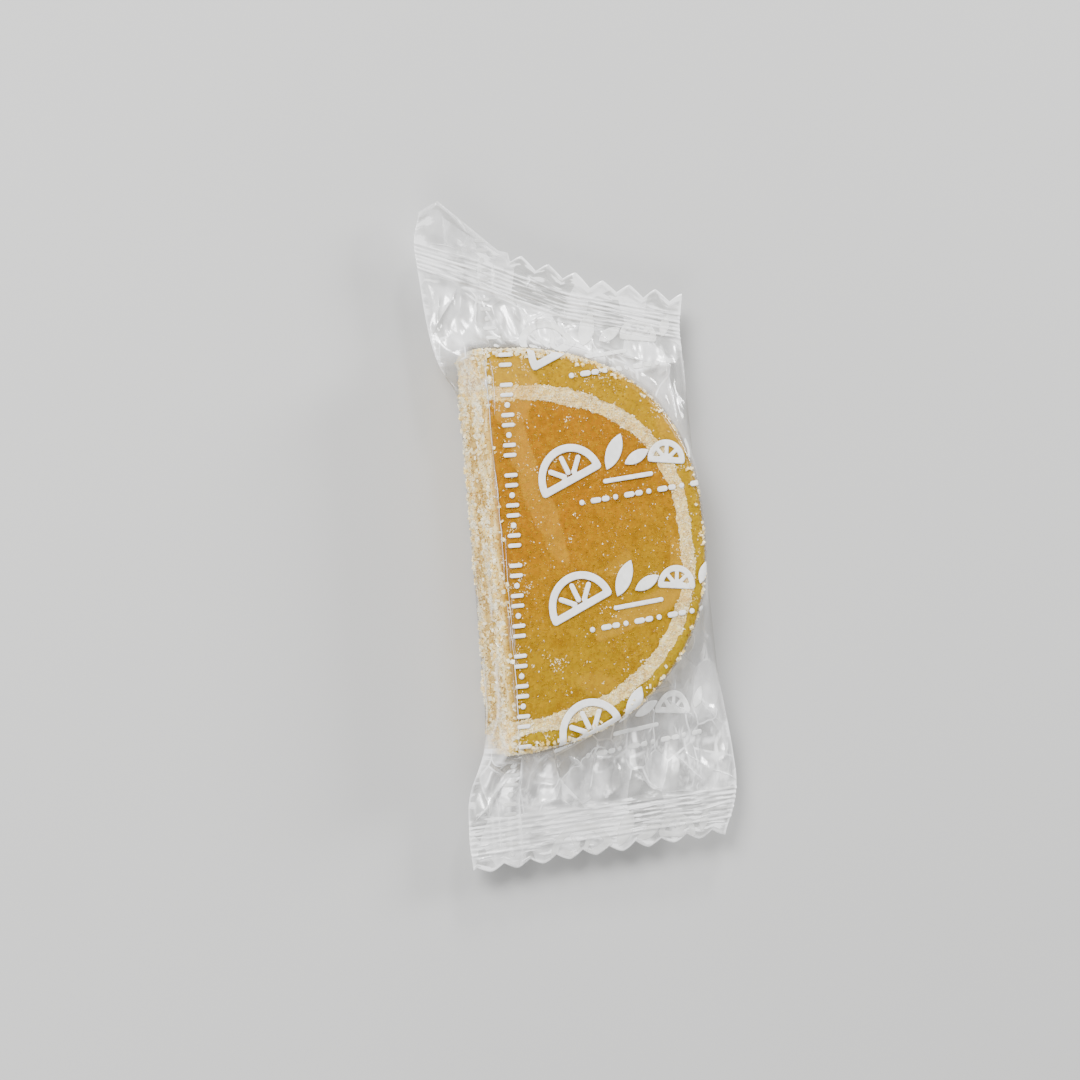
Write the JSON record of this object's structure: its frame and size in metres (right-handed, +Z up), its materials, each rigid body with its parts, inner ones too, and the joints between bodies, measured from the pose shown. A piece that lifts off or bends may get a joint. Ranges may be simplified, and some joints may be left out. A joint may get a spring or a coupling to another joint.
{
  "type": "wrapped jelly fruit slice",
  "caption": "Yellow D-shaped jelly slice with rind, pith and flesh layers, sugared, in a clear crimp-sealed film pack.",
  "frame": {"origin": "middle of the box's underside, on the surface that the pack lies on", "axes": "+Y along the slice towards the slanted seal, -X towards the cut side, +Z up through the thickness"},
  "size_m": [0.0384, 0.0844, 0.01],
  "materials": {
    "film_over_jelly": "clear glossy film over sugared amber jelly",
    "clear_film": "thin clear wrapping film, milkier at the crimped seals",
    "white_print": "thin white print on the film",
    "rind_jelly": "translucent yellow jelly",
    "pith_jelly": "creamy white granular jelly",
    "flesh_jelly": "translucent amber jelly",
    "sugar": "fine sugar crystals"
  },
  "bodies": {
    "root": {"wrapped_slice": "film_over_jelly"}
  },
  "joints": []
}
